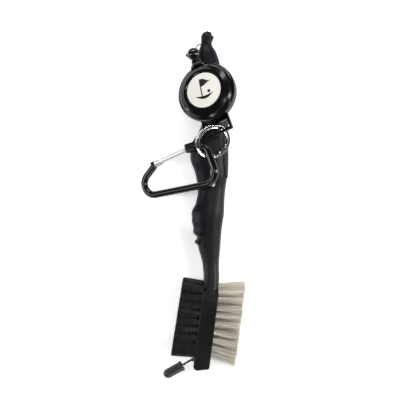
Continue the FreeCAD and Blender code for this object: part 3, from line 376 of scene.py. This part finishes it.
@dataclass
class BristleField:
    """One side's tufts of strands, laid out in the head's columns and rows."""

    name: str
    node: str
    slot: str
    finish: Finish
    side: int
    length: float
    skew: float
    fan: float
    spread: float
    strands: int
    strand_radius: float
    crimp: float
    crimp_turns: float
    stray: float
    steps: int
    seed: int
    strand_sides: int = 4
    columns: int = 9
    pitch: float = 4.6
    rows: tuple[float, ...] = (-7.0, -2.7, 2.7, 7.0)
    fan_shift: float = -0.5
    first: float = 22.65
    half_depth: float = 4.575
    head_height: float = 9.0
    head_lean: float = 7.2
    tuft_radius: float = 1.2
    sunk: float = 0.7
    length_change: float = 0.07
    straight_root: float = 6.0
    stray_seed_shift: float = 11.0

    def roots(self) -> bpy.types.Mesh:
        """A mesh with one point for each tuft. Every second row is half a step along.

        Returns:
            The mesh, with each tuft's way and length as attributes.
        """
        turn = Matrix.Rotation(-math.radians(self.head_lean), 4, "Z")
        places, ways, lengths = [], [], []
        for column in range(self.columns):
            for number, row in enumerate(self.rows):
                step = column + 0.5 * (number % 2)
                share = step / (self.columns - 0.5)
                lean = math.radians(self.fan * (1 - 2 * share) + self.fan_shift)
                way = turn @ Vector((self.side * math.cos(lean), math.sin(lean), 0))
                mouth = turn @ Vector((self.side * self.half_depth, self.first - step * self.pitch, row))
                mouth.z += self.head_height
                places.append((mouth - way * self.sunk) / MM_PER_METRE)
                ways.extend(way)
                lengths.append((self.length + self.skew * (share - 0.5) + self.sunk) / MM_PER_METRE)
        mesh = bpy.data.meshes.new(self.name + "_roots")
        mesh.from_pydata(places, [], [])
        mesh.attributes.new("way", "FLOAT_VECTOR", "POINT").data.foreach_set("vector", ways)
        mesh.attributes.new("reach", "FLOAT", "POINT").data.foreach_set("value", lengths)
        return mesh

    def tree(self) -> bpy.types.NodeTree:
        """The geometry tree that grows a bundle of strands on each root.

        Returns:
            The finished tree.
        """
        weave, group = new_tree(self.name + "_tree", {
            "Strands": self.strands, "Tuft Radius": self.tuft_radius / MM_PER_METRE,
            "Strand Radius": self.strand_radius / MM_PER_METRE, "Spread": self.spread,
            "Crimp": self.crimp / MM_PER_METRE, "Crimp Turns": self.crimp_turns,
            "Stray": self.stray, "Seed": self.seed})
        given = group.outputs
        copies = weave.add("GeometryNodeDuplicateElements", {
            "Geometry": given["Geometry"], "Amount": given["Strands"]}, domain="POINT")
        chance = [weave.add("FunctionNodeRandomValue", {
            "Seed": weave.maths("ADD", given["Seed"], float(shift))}, data_type="FLOAT").outputs[1]
            for shift in range(4)]
        way = weave.add("GeometryNodeInputNamedAttribute", {"Name": "way"},
                        data_type="FLOAT_VECTOR").outputs[0]
        reach = weave.add("GeometryNodeInputNamedAttribute", {"Name": "reach"},
                          data_type="FLOAT").outputs[0]
        angle = weave.maths("MULTIPLY", chance[0], FULL_TURN)
        out = weave.maths("SQRT", chance[1])
        upward = (0.0, 0.0, 1.0)
        across = weave.vector_maths("CROSS_PRODUCT", way, upward)
        sideways = weave.maths("MULTIPLY", weave.maths("COSINE", angle), out)
        raised = weave.maths("MULTIPLY", weave.maths("SINE", angle), out)
        aside = weave.vector_maths("ADD", weave.vector_maths("SCALE", across, sideways),
                                   weave.vector_maths("SCALE", upward, raised))
        placed = weave.add("GeometryNodeSetPosition", {
            "Geometry": copies.outputs[0],
            "Offset": weave.vector_maths("SCALE", aside, given["Tuft Radius"])})
        jitter = weave.add("FunctionNodeRandomValue", {
            "Seed": weave.maths("ADD", given["Seed"], self.stray_seed_shift)}, data_type="FLOAT_VECTOR")
        jitter.inputs["Min"].default_value = (-1.0, -1.0, -1.0)
        leaning = weave.vector_maths("ADD", weave.vector_maths("SCALE", aside, given["Spread"]),
                                     weave.vector_maths("SCALE", jitter.outputs[0], given["Stray"]))
        heading = weave.add("FunctionNodeAlignRotationToVector", {
            "Vector": weave.vector_maths("ADD", way, leaning)}, axis="Z")
        uneven = weave.maths("MULTIPLY", chance[2], self.length_change)
        span = weave.maths("MULTIPLY", reach, weave.maths("ADD", uneven, 1.0 - self.length_change))
        scale = weave.add("ShaderNodeCombineXYZ", {0: 1.0, 1: 1.0, 2: span})
        strand = self._strand(weave, given)
        grown = weave.add("GeometryNodeInstanceOnPoints", {
            "Points": placed.outputs[0], "Instance": strand, "Rotation": heading.outputs[0],
            "Scale": scale.outputs[0]})
        spin = weave.add("ShaderNodeCombineXYZ", {2: weave.maths("MULTIPLY", chance[3], FULL_TURN)})
        spun = weave.add("GeometryNodeRotateInstances", {
            "Instances": grown.outputs[0], "Rotation": spin.outputs[0], "Local Space": True})
        real = weave.add("GeometryNodeRealizeInstances", {0: spun.outputs[0]})
        round_wire = weave.add("GeometryNodeCurvePrimitiveCircle", {
            "Resolution": self.strand_sides, "Radius": given["Strand Radius"]})
        tubes = weave.add("GeometryNodeCurveToMesh", {
            "Curve": real.outputs[0], "Profile Curve": round_wire.outputs[0], "Fill Caps": True})
        close_tree(weave, tubes.outputs[0], self.finish)
        return weave.tree

    def _strand(self, weave: Weaver, given: bpy.types.bpy_prop_collection) -> bpy.types.NodeSocket:
        """One strand of unit length along Z, with its crimp.

        Args:
            weave: the tree's weaver.
            given: the sockets of the tree's named inputs.

        Returns:
            The socket of the strand's curve.
        """
        line = weave.add("GeometryNodeCurvePrimitiveLine", {"End": (0.0, 0.0, 1.0)})
        even = weave.add("GeometryNodeResampleCurve", {"Curve": line.outputs[0], "Count": self.steps})
        share = weave.add("GeometryNodeSplineParameter").outputs["Factor"]
        wave = weave.add("ShaderNodeMath", {
            0: weave.maths("MULTIPLY", share, given["Crimp Turns"]), 1: 1.0}, operation="PINGPONG").outputs[0]
        sway = weave.maths("MULTIPLY", weave.maths("SUBTRACT", wave, 0.5), given["Crimp"])
        held = weave.maths("MINIMUM", weave.maths("MULTIPLY", share, self.straight_root), 1.0)
        sway = weave.maths("MULTIPLY", sway, held)
        shift = weave.add("ShaderNodeCombineXYZ", {0: sway})
        return weave.add("GeometryNodeSetPosition", {
            "Geometry": even.outputs[0], "Offset": shift.outputs[0]}).outputs[0]

    def build(self) -> None:
        """Grows the strands in place of the plain tufts."""
        piece = PieceMaker.woven(self.name, self.roots(), self.tree(),
                                 {"Strands": self.strands, "Seed": self.seed})
        PieceMaker.finish(piece, self.finish, "brush", self.slot, self.node)


# ---------------------------------------------------------------- split ring

@dataclass
class SplitRing:
    """Two turns of flat spring band, joined by one sideways step."""

    middle_radius: float = 9.0
    band_width: float = 2.0
    band_thick: float = 0.90
    pitch: float = 0.95
    corner: float = 0.2
    step_angle: float = 34.0
    step_heading: float = 200.0
    steps: int = 288
    normal: Point = (0.31155, -0.44494, 0.83962)

    def tree(self) -> bpy.types.NodeTree:
        """The geometry tree that bends a line into the two turns and sweeps the band along it.

        Returns:
            The finished tree.
        """
        weave, group = new_tree("split_ring_tree", {
            "Radius": self.middle_radius / MM_PER_METRE, "Band Width": self.band_width / MM_PER_METRE,
            "Band Thickness": self.band_thick / MM_PER_METRE, "Pitch": self.pitch / MM_PER_METRE,
            "Step": math.radians(self.step_angle)})
        given = group.outputs
        line = weave.add("GeometryNodeCurvePrimitiveLine", {"End": (0.0, 0.0, 0.001)})
        even = weave.add("GeometryNodeResampleCurve", {"Curve": line.outputs[0], "Count": self.steps})
        share = weave.add("GeometryNodeSplineParameter").outputs["Factor"]
        sweep = weave.maths("SUBTRACT", 2 * FULL_TURN, given["Step"])
        angle = weave.maths("MULTIPLY", share, sweep)
        rise = weave.add("ShaderNodeMapRange", {
            "Value": angle, "From Min": weave.maths("SUBTRACT", FULL_TURN, given["Step"]),
            "From Max": FULL_TURN, "To Min": -0.5, "To Max": 0.5}, interpolation_type="SMOOTHSTEP")
        spot = weave.add("ShaderNodeCombineXYZ", {
            0: weave.maths("MULTIPLY", weave.maths("COSINE", angle), given["Radius"]),
            1: weave.maths("MULTIPLY", weave.maths("SINE", angle), given["Radius"]),
            2: weave.maths("MULTIPLY", rise.outputs[0], given["Pitch"])})
        bent = weave.add("GeometryNodeSetPosition", {
            "Geometry": even.outputs[0], "Position": spot.outputs[0]})
        upright = weave.add("GeometryNodeSetCurveNormal", {"Curve": bent.outputs[0]}, mode="Z_UP")
        flat = weave.add("GeometryNodeCurvePrimitiveQuadrilateral", {
            "Width": given["Band Width"], "Height": given["Band Thickness"]})
        eased = weave.add("GeometryNodeFilletCurve", {
            "Curve": flat.outputs[0], "Radius": self.corner / MM_PER_METRE, "Count": 3}, mode="POLY")
        band = weave.add("GeometryNodeCurveToMesh", {
            "Curve": upright.outputs[0], "Profile Curve": eased.outputs[0], "Fill Caps": True})
        close_tree(weave, band.outputs[0], NICKEL)
        return weave.tree

    def build(self) -> None:
        """Winds the ring and sets it where the CAD ring is."""
        piece = PieceMaker.woven("ring_coils", bpy.data.meshes.new("ring_start"), self.tree(), {})
        turn = Matrix.Rotation(math.radians(self.step_heading), 4, "Z")
        lay = Vector((0, 0, 1)).rotation_difference(Vector(self.normal)).to_matrix().to_4x4()
        piece.data.transform(Matrix.Translation(middle_of("split_ring")) @ lay @ turn)
        PieceMaker.finish(piece, NICKEL, "ring", "ring_nickel", "split_ring")


# ---------------------------------------------------------------- reel

@dataclass
class ReelDress:
    """The printed mark on the reel's label and the line that leaves its nozzle."""

    centre: Point = (0.2, 131.3, 24.2)
    across: Point = (0.87281, 0.3886, 0.2953)
    forward: Point = (-0.30708, 0.9075, -0.2866)
    normal: Point = (-0.37936, 0.15947, 0.9114)
    dome_top: float = 5.05
    dome_radius: float = 90.3
    ink_thick: float = 0.03
    ink_lift: float = 0.01
    longest_edge: float = 1.2
    mark_turn: float = -8.0
    line_radius: float = 0.33
    line_height: float = -0.6
    mouth: float = 21.2
    line_in_ball: float = 2.2
    line_in_nozzle: float = 7.5
    ball_hold: float = 3.4
    nozzle_hold: float = 5.0
    line_sides: int = 10
    line_steps: int = 40

    def frame(self) -> Matrix:
        """The reel's own frame: X across, Y towards the nozzle and Z out of the label."""
        turn = Matrix((self.across, self.forward, self.normal)).transposed().to_4x4()
        return Matrix.Translation(Vector(self.centre)) @ turn

    def _outlines(self) -> list[list[tuple[float, float]]]:
        """The flat shapes of the mark: a pin with its pennant, a mound and a ball.

        Returns:
            The corners of each shape, in millimetres from the label's middle.
        """
        pole, top, fly, waves = -1.0, 6.6, 6.0, 8
        shapes = [[(pole - 0.65, -3.6), (pole, -3.6), (pole, top), (pole - 0.65, top)]]
        shares = [step / waves for step in range(1, waves + 1)]
        pennant = [(pole, top - 0.1)] + [
            (pole + fly * share, top - 2.1 * share + 0.35 * math.sin(share * FULL_TURN))
            for share in shares]
        pennant += [
            (pole + fly * (1 - share), 2.2 + 1.9 * (1 - share) + 0.3 * math.sin(share * FULL_TURN))
            for share in shares]
        shapes.append(pennant)
        mound = [(-5.6 + 11.2 * step / 20, -3.6 - 0.9 * math.cos(math.pi * (step - 10) / 20)
                  + 1.0) for step in range(21)]
        mound += [(5.6 - 11.2 * step / 20, -3.6 - 2.6 * math.cos(math.pi * (step - 10) / 20) + 1.0)
                  for step in range(1, 20)]
        shapes.append(mound)
        shapes.append([(3.0 + 0.85 * math.cos(turn), -1.55 + 0.85 * math.sin(turn))
                       for turn in (FULL_TURN * step / 28 for step in range(28))])
        return shapes

    def mark(self) -> None:
        """Prints a plain golf pin on the label."""
        print_mesh = bmesh.new()
        for shape in self._outlines():
            corners = [print_mesh.verts.new((x, y, 0.0)) for x, y in shape]
            print_mesh.faces.new(corners)
        bmesh.ops.triangulate(print_mesh, faces=print_mesh.faces[:])
        long_edges = [edge for edge in print_mesh.edges if edge.calc_length() > self.longest_edge]
        bmesh.ops.subdivide_edges(print_mesh, edges=long_edges, cuts=2, use_grid_fill=True)
        raised = bmesh.ops.extrude_face_region(print_mesh, geom=print_mesh.faces[:])
        for vertex in raised["geom"]:
            if isinstance(vertex, bmesh.types.BMVert):
                vertex.co.z = self.ink_thick
        for vertex in print_mesh.verts:
            away = vertex.co.x ** 2 + vertex.co.y ** 2
            vertex.co.z += self.dome_top + self.ink_lift - away / (2 * self.dome_radius)
        bmesh.ops.recalc_face_normals(print_mesh, faces=print_mesh.faces[:])
        mesh = bpy.data.meshes.new("label_mark")
        print_mesh.to_mesh(mesh)
        print_mesh.free()
        turn = Matrix.Rotation(math.radians(self.mark_turn), 4, "Z")
        mesh.transform(Matrix.Scale(1.0 / MM_PER_METRE, 4) @ self.frame() @ turn)
        PieceMaker.finish(PieceMaker.object_of("label_mark", mesh), PRINT_INK, "reel", "label_print")

    def line(self) -> None:
        """The line from inside the ball to inside the nozzle, as one fixed tube on no body; the real line
        draws out as the reel is pulled.
        """
        ball = self.frame().inverted() @ (middle_of("stopper_ball") * MM_PER_METRE)
        start, stop = ball.y - self.line_in_ball, self.mouth - self.line_in_nozzle
        tube = bmesh.new()
        rings = []
        turns = [FULL_TURN * side / self.line_sides for side in range(self.line_sides)]
        for step in range(self.line_steps + 1):
            y = start + (stop - start) * step / self.line_steps
            rings.append([tube.verts.new((self.line_radius * math.cos(turn), y,
                                          self.line_height + self.line_radius * math.sin(turn)))
                          for turn in turns])
        for near, far in zip(rings, rings[1:]):
            for side in range(self.line_sides):
                tube.faces.new((near[side], near[side - 1], far[side - 1], far[side]))
        tube.faces.new(rings[0])
        tube.faces.new(rings[-1])
        bmesh.ops.recalc_face_normals(tube, faces=tube.faces[:])
        mesh = bpy.data.meshes.new("drawn_line")
        tube.to_mesh(mesh)
        tube.free()
        mesh.transform(Matrix.Scale(1.0 / MM_PER_METRE, 4) @ self.frame())
        mesh.polygons.foreach_set("use_smooth", [True] * len(mesh.polygons))
        piece = PieceMaker.object_of("drawn_line", mesh)
        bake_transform(piece)
        PieceMaker.finish(piece, REEL_LINE, "", "line_fibre", "line_run")

    def build(self) -> None:
        """Prints the mark and runs the line."""
        self.mark()
        self.line()


# ---------------------------------------------------------------- tether

@dataclass
class Tether:
    """The short twisted cord between the stopper ball and the handle's neck, knotted at its far end."""

    route: tuple[Point, ...] = ((-6.9, 155.1, 15.2), (-5.132, 160.59, 9.3), (0.168, 160.94, 9.0))
    bend: float = 2.4
    lay_radius: float = 0.2
    strand_radius: float = 0.21
    strands: int = 3
    lay_length: float = 1.9
    knot_radius: float = 0.62
    knot_turns: int = 5
    knot_points: int = 90
    knot_thickening: float = 1.35

    def tree(self) -> bpy.types.NodeTree:
        """The geometry tree that rounds the route and twists the strands along it.

        Returns:
            The finished tree.
        """
        weave, group = new_tree("tether_tree", {
            "Bend": self.bend / MM_PER_METRE, "Lay Radius": self.lay_radius / MM_PER_METRE,
            "Strand Radius": self.strand_radius / MM_PER_METRE,
            "Lay Length": self.lay_length / MM_PER_METRE})
        given = group.outputs
        path = weave.add("GeometryNodeMeshToCurve", {0: given["Geometry"]})
        eased = weave.add("GeometryNodeFilletCurve", {
            "Curve": path.outputs[0], "Radius": given["Bend"], "Count": 10}, mode="POLY")
        even = weave.add("GeometryNodeResampleCurve", {"Curve": eased.outputs[0], "Count": 150})
        run = weave.add("GeometryNodeSplineParameter").outputs["Length"]
        normal = weave.add("GeometryNodeInputNormal").outputs[0]
        tangent = weave.add("GeometryNodeInputTangent").outputs[0]
        sideways = weave.vector_maths("CROSS_PRODUCT", tangent, normal)
        ring = weave.add("GeometryNodeCurvePrimitiveCircle", {
            "Resolution": 8, "Radius": given["Strand Radius"]})
        joined = weave.add("GeometryNodeJoinGeometry")
        turn = weave.maths("MULTIPLY", weave.maths("DIVIDE", run, given["Lay Length"]), FULL_TURN)
        for number in range(self.strands):
            angle = weave.maths("ADD", turn, FULL_TURN * number / self.strands)
            offset = weave.vector_maths(
                "ADD", weave.vector_maths("SCALE", normal, weave.maths("COSINE", angle)),
                weave.vector_maths("SCALE", sideways, weave.maths("SINE", angle)))
            laid = weave.add("GeometryNodeSetPosition", {
                "Geometry": even.outputs[0],
                "Offset": weave.vector_maths("SCALE", offset, given["Lay Radius"])})
            strand = weave.add("GeometryNodeCurveToMesh", {
                "Curve": laid.outputs[0], "Profile Curve": ring.outputs[0], "Fill Caps": True})
            weave.tree.links.new(strand.outputs[0], joined.inputs[0])
        close_tree(weave, joined.outputs[0], TETHER_PAINTED_SHEEN)
        return weave.tree

    def knot(self) -> bpy.types.Object:
        """A small ball of turns at the cord's far end.

        Returns:
            The knot, a plain mesh.
        """
        curve = bpy.data.curves.new("tether_knot", "CURVE")
        curve.dimensions = "3D"
        curve.bevel_depth = self.strand_radius * self.knot_thickening / MM_PER_METRE
        curve.bevel_resolution = 2
        spline = curve.splines.new("POLY")
        centre, count = Vector(self.route[-1]), self.knot_points
        spline.points.add(count - 1)
        for index, point in enumerate(spline.points):
            climb = math.pi * index / (count - 1)
            turn = FULL_TURN * self.knot_turns * index / (count - 1)
            spot = centre + self.knot_radius * Vector((
                math.cos(climb), math.sin(climb) * math.cos(turn), math.sin(climb) * math.sin(turn)))
            point.co = (*(spot / MM_PER_METRE), 1.0)
        draft = PieceMaker.object_of("tether_knot", curve)
        view = bpy.context.evaluated_depsgraph_get()
        mesh = bpy.data.meshes.new_from_object(draft.evaluated_get(view))
        bpy.data.objects.remove(draft)
        return PieceMaker.object_of("tether_knot", mesh)

    def build(self) -> None:
        """Twists the cord and ties its knot."""
        start = bpy.data.meshes.new("tether_route")
        start.from_pydata([metres(*point) for point in self.route], [(0, 1), (1, 2)], [])
        cord = PieceMaker.woven("tether_strands", start, self.tree(), {})
        PieceMaker.finish(cord, TETHER_PAINTED_SHEEN, "brush", "tether_fibre", "tether_cord")
        PieceMaker.finish(self.knot(), TETHER_PAINTED_SHEEN, "brush", "tether_fibre", "tether_cord")


# ---------------------------------------------------------------- carried-over pieces

class CarriedParts:
    """The CAD pieces that keep their own shape and get a finish."""

    def build(self) -> None:
        """Gives each of them its finish."""
        for node, finish in CAD_FINISHES.items():
            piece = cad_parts[node]
            piece.data.materials.clear()
            piece.data.materials.append(finish.material())
            LOG.info("%s: %s", node, finish.name)


# ---------------------------------------------------------------- studio

@dataclass
class Softbox:
    """One rectangular light that looks at a point."""

    name: str
    place: Point
    width: float
    height: float
    power: float
    target: Point = (0.0, 65.0, 8.0)

    def build(self) -> None:
        """Hangs the light."""
        light = bpy.data.lights.new(self.name, "AREA")
        light.shape = "RECTANGLE"
        light.size, light.size_y = self.width / MM_PER_METRE, self.height / MM_PER_METRE
        light.energy = self.power
        lamp = PieceMaker.object_of(self.name, light)
        lamp.location = metres(*self.place)
        lamp.rotation_euler = (metres(*self.target) - lamp.location).to_track_quat("-Z", "Y").to_euler()


@dataclass
class Studio:
    """The pale floor, the soft lights and the camera straight above."""

    eye: Point = (0.86, 67.0, 509.0)
    lens: float = 75.5
    floor_half: float = 3000.0
    floor_level: float = -0.2
    sky: float = 0.05
    floor_glow: float = 0.45
    lights: list[Softbox] = field(default_factory=lambda: [
        Softbox("right_box", (480.0, 150.0, 330.0), 110.0, 560.0, 3.4),
        Softbox("left_box", (-520.0, 40.0, 300.0), 80.0, 520.0, 1.6),
        Softbox("head_box", (-60.0, 640.0, 330.0), 520.0, 110.0, 2.2),
        Softbox("top_box", (0.0, 155.0, 640.0), 110.0, 80.0, 0.45),
        Softbox("foot_box", (120.0, -480.0, 300.0), 520.0, 90.0, 1.6)])

    def build(self) -> None:
        """Sets the floor, the lights, the sky and the camera."""
        half = self.floor_half
        corners = ((-half, -half), (half, -half), (half, half), (-half, half))
        mesh = bpy.data.meshes.new("floor")
        mesh.from_pydata([metres(x, y, self.floor_level) for x, y in corners], [], [(0, 1, 2, 3)])
        floor = PieceMaker.object_of("floor", mesh)
        pale = Finish("pale_floor", (0.90, 0.90, 0.90), 0.85, Grain.SATIN, 4.0, 0.0,
                      second_colour=(0.89, 0.89, 0.89), specular=0.1).material()
        shader = next(node for node in pale.node_tree.nodes if node.type == "BSDF_PRINCIPLED")
        shader.inputs["Emission Color"].default_value = (1.0, 1.0, 1.0, 1.0)
        shader.inputs["Emission Strength"].default_value = self.floor_glow
        floor.data.materials.append(pale)
        for light in self.lights:
            light.build()
        scene = bpy.context.scene
        scene.view_settings.view_transform = "Standard"
        scene.world = scene.world or bpy.data.worlds.new("studio")
        scene.world.use_nodes = True
        backdrop = next(node for node in scene.world.node_tree.nodes if node.type == "BACKGROUND")
        backdrop.inputs[0].default_value = (1.0, 1.0, 1.0, 1.0)
        backdrop.inputs[1].default_value = self.sky
        camera = bpy.data.cameras.new("camera")
        camera.lens, camera.sensor_width, camera.clip_start = self.lens, 36.0, 0.01
        holder = PieceMaker.object_of("camera", camera)
        holder.location = metres(*self.eye)
        scene.camera = holder


NYLON_FIELD = BristleField(
    "nylon_bristles", "nylon_tufts", "nylon_bristle", NYLON, side=-1, length=12.9, skew=1.2, fan=0.0,
    fan_shift=0.0, tuft_radius=1.95, spread=0.04, strands=84, strand_radius=0.15, crimp=0.06,
    crimp_turns=5.0, stray=0.03, steps=6, seed=3)
WIRE_FIELDS = [
    BristleField(
        f"wire_bristles_{name}", "wire_tufts", "wire_bristle", WIRE, side=1, length=15.0, skew=0.0, fan=10.0,
        tuft_radius=1.35, spread=0.06, strands=30, sunk=0.3, strand_radius=0.165, crimp=0.7,
        crimp_turns=23.0, stray=0.05, steps=24, seed=seed, rows=rows, strand_sides=3)
    for name, seed, rows in (("low", 8, (-7.0, -2.7)), ("high", 9, (2.7, 7.0)))]


def main() -> None:
    """Builds the pieces in order."""
    logging.basicConfig(level=logging.INFO)
    for part in (CarriedParts(), NYLON_FIELD, *WIRE_FIELDS, SplitRing(), ReelDress(), Tether(), Studio()):
        part.build()


if __name__ == "__main__":
    main()
